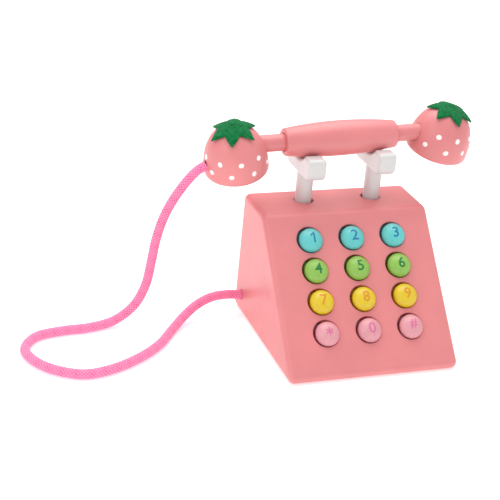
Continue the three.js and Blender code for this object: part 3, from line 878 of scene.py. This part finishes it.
def cradle_outline():
    """A head seen from the side: a block with round corners and a round hollow for the grip."""
    low, high = 0.006, 0.0035
    hollow = Vector((0, head_height - cradle_depth + cradle_radius))
    horn_height = head_height - horn_radius
    reach = math.sqrt((cradle_radius + horn_radius) ** 2 - (horn_height - hollow.y) ** 2)
    lean = math.atan2(hollow.y - horn_height, reach)
    return [
        (Vector((head_half - low, low)), low, -math.pi / 2, 0),
        (Vector((head_half - high, head_height - high)), high, 0, math.pi / 2),
        (Vector((reach, horn_height)), horn_radius, math.pi / 2, math.pi - lean),
        (hollow, cradle_radius, -lean, -math.pi + lean),
        (Vector((-reach, horn_height)), horn_radius, lean, math.pi / 2),
        (Vector((-head_half + high, head_height - high)), high, math.pi / 2, math.pi),
        (Vector((-head_half + low, low)), low, math.pi, 1.5 * math.pi),
    ]


for side in ("left", "right"):
    low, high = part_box(f"hook_head_{side}")
    middle_x = (low.x + high.x) / 2
    head = soft_board(f"cradle_{side}", trace(cradle_outline(), 10), low.x, high.x, head_rim, white_lacquer)
    place(head, Matrix.Translation((0, hook_y, low.z)))
    crisp(head, 50)
    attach(head, "hook")
    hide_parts(f"hook_head_{side}")
    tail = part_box(f"hook_post_{side}")[0].z
    shoulder = low.z + 0.0012
    post_line = [(0, tail), (post_radius - 0.0012, tail)]
    post_line += quarter(post_radius - 0.0012, tail + 0.0012, 0.0012, -75, 0, 4)
    post_line += [(post_radius, tail + (shoulder - tail) * k / 8) for k in range(1, 8)]
    post_line += [(post_radius, shoulder), (0, shoulder)]
    post = turned(f"post_{side}", post_line, white_lacquer, 56)
    place(post, Matrix.Translation((middle_x, hook_y, 0)))
    crisp(post)
    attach(post, "hook")
    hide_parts(f"hook_post_{side}")
    spring = coil(f"hook_coil_{side}", 0.0075, 0.00065, spring_seat + 0.0003, spring_cap - 0.0003, 8.4)
    place(spring, Matrix.Translation((middle_x, hook_y, 0)))
    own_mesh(spring)
    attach(spring, "base")
    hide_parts(f"hook_spring_{side}")


# ---------------------------------------------------------------------------------- grip and necks
# A barrel grip turned from one piece of wood, with a neck dowel glued into each end, all sprayed with
# the same pink as the box. The bores for the necks are a little wide and leave a dark line at the joints.
handset_roll = math.radians(12)
handset_lift = math.radians(2.2)
handset_frame = (
    Matrix.Translation((0, hook_y, 0.1352))
    @ Matrix.Rotation(-handset_lift, 4, "Y")
    @ Matrix.Rotation(handset_roll, 4, "X")
)
along_grip = Matrix.Rotation(math.pi / 2, 4, "Y")
grip_half = 0.0414
grip_x = -0.0011
grip_middle = 0.01235
grip_end = 0.0095
grip_edge = 0.0015
neck_radius = 0.006
bore_end = 0.024
neck_from = 0.0254
neck_to = 0.066
joint_gap = 0.0003


def barrel_radius(x):
    """The barrel swells from its ends to its middle."""
    return grip_middle - (grip_middle - grip_end) * (x / grip_half) ** 2


end_radius = barrel_radius(grip_half - grip_edge)
right_half = [(barrel_radius(x), x) for x in np.linspace(0, grip_half - grip_edge, 18)]
right_half += quarter(end_radius - grip_edge, grip_half - grip_edge, grip_edge, 0, 90)[1:]
right_half += quarter(neck_radius + joint_gap + 0.0006, grip_half - 0.0006, 0.0006, 90, 180, 4)
right_half += [(neck_radius + joint_gap, bore_end), (0, bore_end)]
grip_profile = [(radius, -x) for radius, x in reversed(right_half[1:])] + right_half
grip = turned("barrel_grip", grip_profile, pink_lacquer, 96)
place(grip, handset_frame @ Matrix.Translation((grip_x, 0, 0)) @ along_grip)
crisp(grip)
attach(grip, "handset")
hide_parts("grip")

for side, name in ((-1, "left"), (1, "right")):
    reach = sorted((side * neck_from, side * neck_to))
    neck_line = [(0, reach[0])] + [(neck_radius, x) for x in np.linspace(*reach, 12)] + [(0, reach[1])]
    neck = turned(f"dowel_{name}", neck_line, pink_lacquer, 56)
    place(neck, handset_frame @ along_grip)
    crisp(neck)
    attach(neck, "handset")
    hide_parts(f"neck_{name}")


# ----------------------------------------------------------------------------------- strawberry cups
# Each end of the handset is a turned strawberry with a flat face. The seeds are two staggered rows of
# raised white dots, set down with a rod dipped in paint.
cup_radius = 0.0225
cup_height = 0.0341
cup_edge = 0.0025
dome_power = 0.87
dots_in_row = 9
dot_radius = 0.002
dot_height = 0.00042

dome_angles = np.linspace(math.pi / 2, 0, 400)
skin_radius = cup_radius * np.cos(dome_angles) ** dome_power
skin_height = cup_edge + (cup_height - cup_edge) * np.sin(dome_angles) ** dome_power
skin_radius[0] = 0
skin_reach = np.insert(np.cumsum(np.hypot(np.diff(skin_radius), np.diff(skin_height))), 0, 0)
skin_rise = -np.gradient(skin_height, skin_reach)
skin_lean = np.gradient(skin_radius, skin_reach)


def on_cup(angle, reach, lift):
    """Points on a strawberry's skin, at angles round it and distances from its top, lifted off it."""
    radius = np.interp(reach, skin_reach, skin_radius) + lift * np.interp(reach, skin_reach, skin_rise)
    height = np.interp(reach, skin_reach, skin_height) + lift * np.interp(reach, skin_reach, skin_lean)
    return np.stack([radius * np.cos(angle), radius * np.sin(angle), height], axis=-1)


cup_profile = [(0, 0.0)] + quarter(cup_radius - cup_edge, cup_edge, cup_edge, -90, 0)
for step in range(1, 44):
    angle = math.pi / 2 * step / 44
    cup_profile.append((
        cup_radius * math.cos(angle) ** dome_power,
        cup_edge + (cup_height - cup_edge) * math.sin(angle) ** dome_power,
    ))
cup_profile.append((0, cup_height))
cup_frames = {
    name: handset_frame @ Matrix.Translation((x, 0, -drop)) @ Matrix.Rotation(math.radians(lean), 4, "Y")
    for name, x, drop, lean in (("left", -0.0744, 0.0188, -9.8), ("right", 0.0751, 0.0166, 10.9))
}
rope_end = Vector(rope_route[-1])
rope_end_heading = (rope_end - Vector(rope_route[-2])).normalized()


seed_enamel = lacquered("seed_enamel", shade(252, 244, 240), roughness=0.28, mottle=0.02, peel=0.03)


def seed_dots(name, neck_angle, row_heights, first_angles):
    """The raised dots of one cup, as low domes that follow its skin."""
    rng = np.random.default_rng(11 if name == "left" else 12)
    points, faces = [], []
    sides, rings = 20, 6
    for height, first in zip(row_heights, first_angles):
        for k in range(dots_in_row):
            angle = math.radians(first + 360 / dots_in_row * k + rng.normal(0, 1.2))
            if math.cos(angle - neck_angle) > 0.9:
                continue
            reach = np.interp(-(height + rng.normal(0, 0.0003)), -skin_height, skin_reach)
            girth = np.interp(reach, skin_reach, skin_radius)
            size = dot_radius * rng.uniform(0.94, 1.06)
            wobble = 1 + 0.06 * np.cos(2 * math.pi * np.arange(sides) / sides * 2 + rng.uniform(0, 6))
            start = len(points)
            points.append(on_cup(angle, reach, dot_height))
            for ring in range(1, rings + 1):
                share = ring / rings
                lift = dot_height * (1 - share**2.4) - 0.0001 * (share == 1)
                for j in range(sides):
                    spoke = 2 * math.pi * j / sides
                    offset = size * share * wobble[j]
                    around = angle + offset * math.cos(spoke) / girth
                    points.append(on_cup(around, reach + offset * math.sin(spoke), lift))
            points.append(on_cup(angle, reach, -0.0003))
            last = len(points) - 1
            for j in range(sides):
                beside = (j + 1) % sides
                faces.append((start, start + 1 + j, start + 1 + beside))
                for ring in range(rings - 1):
                    a = start + 1 + ring * sides
                    faces.append((a + j, a + beside, a + sides + beside, a + sides + j))
                outer = start + 1 + (rings - 1) * sides
                faces.append((last, outer + beside, outer + j))
    return make_piece(f"seed_dots_{name}", points, faces, seed_enamel)


bore_from = 0.045
rope_bore_radius = 0.0031
dot_rows = {"left": ((0.0088, 0.0168), (-153, -135.5)), "right": ((0.0102, 0.0192), (-145, -124.5))}
for side, name in ((-1, "left"), (1, "right")):
    cup = turned(f"strawberry_{name}", cup_profile, pink_lacquer, 112)
    place(cup, cup_frames[name])
    bore_radius = neck_radius + joint_gap
    neck_bore = [(0, bore_from), (bore_radius, bore_from), (bore_radius, neck_to), (0, neck_to)]
    facing = Matrix.Rotation(side * math.pi / 2, 4, "Y")
    carve(cup, place(turned("neck_bore", neck_bore, pink_lacquer, 56), handset_frame @ facing))
    if name == "left":
        rope_bore = [(0, -0.012), (rope_bore_radius, -0.012), (rope_bore_radius, 0.010), (0, 0.010)]
        turn = rope_end_heading.to_track_quat("Z", "Y").to_matrix().to_4x4()
        rope_socket = turned("rope_bore", rope_bore, pink_lacquer, 40)
        carve(cup, place(rope_socket, Matrix.Translation(rope_end) @ turn))
    crisp(cup, 40)
    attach(cup, "handset")
    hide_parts(f"cup_{name}")
    dots = seed_dots(name, 0 if name == "left" else math.pi, *dot_rows[name])
    place(dots, cup_frames[name])
    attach(dots, "handset")


# ---------------------------------------------------------------------------------------- felt leaves
# A six-pointed star of wool felt, 2 mm thick, glued over the top of each strawberry. Its tips are not
# glued and stand a little off the skin, and its cut edge is soft and slightly ragged.
leaf_thickness = 0.0019
leaf_tip = 0.0152
leaf_valley = 0.0094
leaf_turns = {"left": -20, "right": 1}
leaf_points = 6


def wool_felt():
    """Matted green wool: clotted fibres with painted shade in their hollows, and a soft bloom at grazing
    angles.
    """
    material, nodes, links, shader = new_finish("green_felt", 0.95)
    shader.inputs["Sheen Weight"].default_value = 0.1
    shader.inputs["Sheen Roughness"].default_value = 0.55
    shader.inputs["Specular IOR Level"].default_value = 0.1
    spot = spot_on(nodes)
    clots_and_hollow_shade = noise_over(nodes, links, spot, 520.0, 6.0, 0.68, 1.4)
    # Low noise is both the dark end of the ramp and the low end of the bump: random clot tone and painted
    # shade.
    tones = [(0.30, shade(0, 78, 38)), (0.5, shade(4, 112, 58)), (0.72, shade(24, 144, 84))]
    links.new(toned(nodes, links, clots_and_hollow_shade, tones), shader.inputs["Base Color"])
    total = nodes.new("ShaderNodeMath")
    total.operation = "ADD"
    links.new(clots_and_hollow_shade, total.inputs[0])
    links.new(noise_over(nodes, links, spot, 2600.0, 3.0), total.inputs[1])
    add_bumps(nodes, links, shader, total.outputs["Value"], 0.7, 0.0004)
    return material


green_felt = wool_felt()


def leaf_edge(angle):
    """How far out the leaf is cut at an angle: slightly swollen lobes between the valleys."""
    half_lobe = math.pi / leaf_points
    from_tip = np.abs((angle + math.pi / 2 + half_lobe) % (2 * half_lobe) - half_lobe)
    straight = leaf_tip * leaf_valley * math.sin(half_lobe) / (
        leaf_tip * np.sin(from_tip) + leaf_valley * np.sin(half_lobe - from_tip)
    )
    return straight * (1 + 0.07 * np.sin(math.pi * from_tip / half_lobe))


def felt_leaf(name, seed):
    """The star as a closed pad that hugs the cup: its top, its soft cut edge and its underside."""
    rng = np.random.default_rng(seed)
    spokes = 216
    angle = 2 * math.pi * np.arange(spokes) / spokes - math.pi / 2
    ragged = np.convolve(np.tile(rng.normal(0, 1, spokes), 3), np.ones(3) / 3, "same")[spokes:2 * spokes]
    edge = leaf_edge(angle) + 0.00011 * ragged
    freedom = np.clip((edge - leaf_valley) / (leaf_tip - leaf_valley), 0, 1)
    layers = [(share, 1 - 0.10 * share**6, True) for share in np.linspace(0.04, 0.95, 20)]
    layers += [(0.985, 0.80, True), (1.0, 0.52, True), (0.985, 0.2, True), (0.95, 0.05, True)]
    layers += [(share, 0.02, False) for share in np.linspace(0.85, 0.06, 8)]
    rings = []
    for share, height, loose in layers:
        plan = edge * share
        reach = np.interp(plan, skin_radius, skin_reach)
        stand_off = 0.0011 * freedom**2 * share**3
        felt_relief = 0.00006 * rng.normal(0, 1, spokes) * loose
        rings.append(on_cup(angle, reach, leaf_thickness * height + stand_off + felt_relief))
    top = on_cup(0.0, 0.0, leaf_thickness)
    under = on_cup(0.0, 0.0, 0.00004)
    points = [top, *np.vstack(rings), under]
    last = len(points) - 1
    faces = []
    for j in range(spokes):
        beside = (j + 1) % spokes
        faces.append((0, 1 + j, 1 + beside))
        for i in range(len(rings) - 1):
            a = 1 + i * spokes
            faces.append((a + j, a + spokes + j, a + spokes + beside, a + beside))
        faces.append((last, last - spokes + beside, last - spokes + j))
    return make_piece(name, points, faces, green_felt)


for seed, name in enumerate(("left", "right")):
    leaf = felt_leaf(f"felt_leaf_{name}", 31 + seed)
    place(leaf, cup_frames[name] @ Matrix.Rotation(math.radians(leaf_turns[name]), 4, "Z"))
    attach(leaf, "handset")
    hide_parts(f"leaf_{name}")


# ----------------------------------------------------------------------------------- table and light
# A plain white table under a white sky, with two large soft lamps in front and one overhead, so that
# the shadows stay faint and the satin paint shows only broad highlights.
table_material, table_nodes, table_links, table_shader = new_finish("white_table", 0.75)
table_cloud = noise_over(table_nodes, table_links, spot_on(table_nodes), 9.0)
table_tones = [(0.3, [0.93, 0.93, 0.93, 1.0]), (0.7, [0.95, 0.95, 0.95, 1.0])]
table_colour = toned(table_nodes, table_links, table_cloud, table_tones)
table_links.new(table_colour, table_shader.inputs["Base Color"])
table_shader.inputs["Emission Color"].default_value = (1.0, 1.0, 1.0, 1.0)
table_shader.inputs["Emission Strength"].default_value = 0.395
table_drop = -0.0002
table_half = 4.0
corner_signs = ((-1, -1), (1, -1), (1, 1), (-1, 1))
table_corners = [(x * table_half, y * table_half, table_drop) for x, y in corner_signs]
table = make_piece("table", table_corners, [(0, 1, 2, 3)], table_material, False)
table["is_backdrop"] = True

sky = bpy.data.worlds.new("white_sky")
sky.use_nodes = True
sky.node_tree.nodes["Background"].inputs["Color"].default_value = (1.0, 1.0, 1.0, 1.0)
sky.node_tree.nodes["Background"].inputs["Strength"].default_value = 0.66
bpy.context.scene.world = sky


def soft_lamp(name, spot, aim, size, watts):
    """A square soft box that faces a point."""
    lamp = bpy.data.lights.new(name, "AREA")
    lamp.shape = "SQUARE"
    lamp.size = size
    lamp.energy = watts
    holder = bpy.data.objects.new(name, lamp)
    holder.location = spot
    holder.rotation_euler = (Vector(aim) - Vector(spot)).to_track_quat("-Z", "Y").to_euler()
    bpy.context.scene.collection.objects.link(holder)


soft_lamp("lamp_left", (-0.95, -0.45, 0.6), (0, 0, 0.06), 0.5, 1.5)
soft_lamp("lamp_right", (0.9, -0.9, 0.8), (0, 0, 0.06), 0.55, 0.8)
soft_lamp("lamp_above", (0.0, 0.4, 1.2), (0, 0, 0.05), 1.3, 14.0)
bpy.context.scene.view_settings.view_transform = "Standard"


# -------------------------------------------------------------------------------------- size and end
low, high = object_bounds()
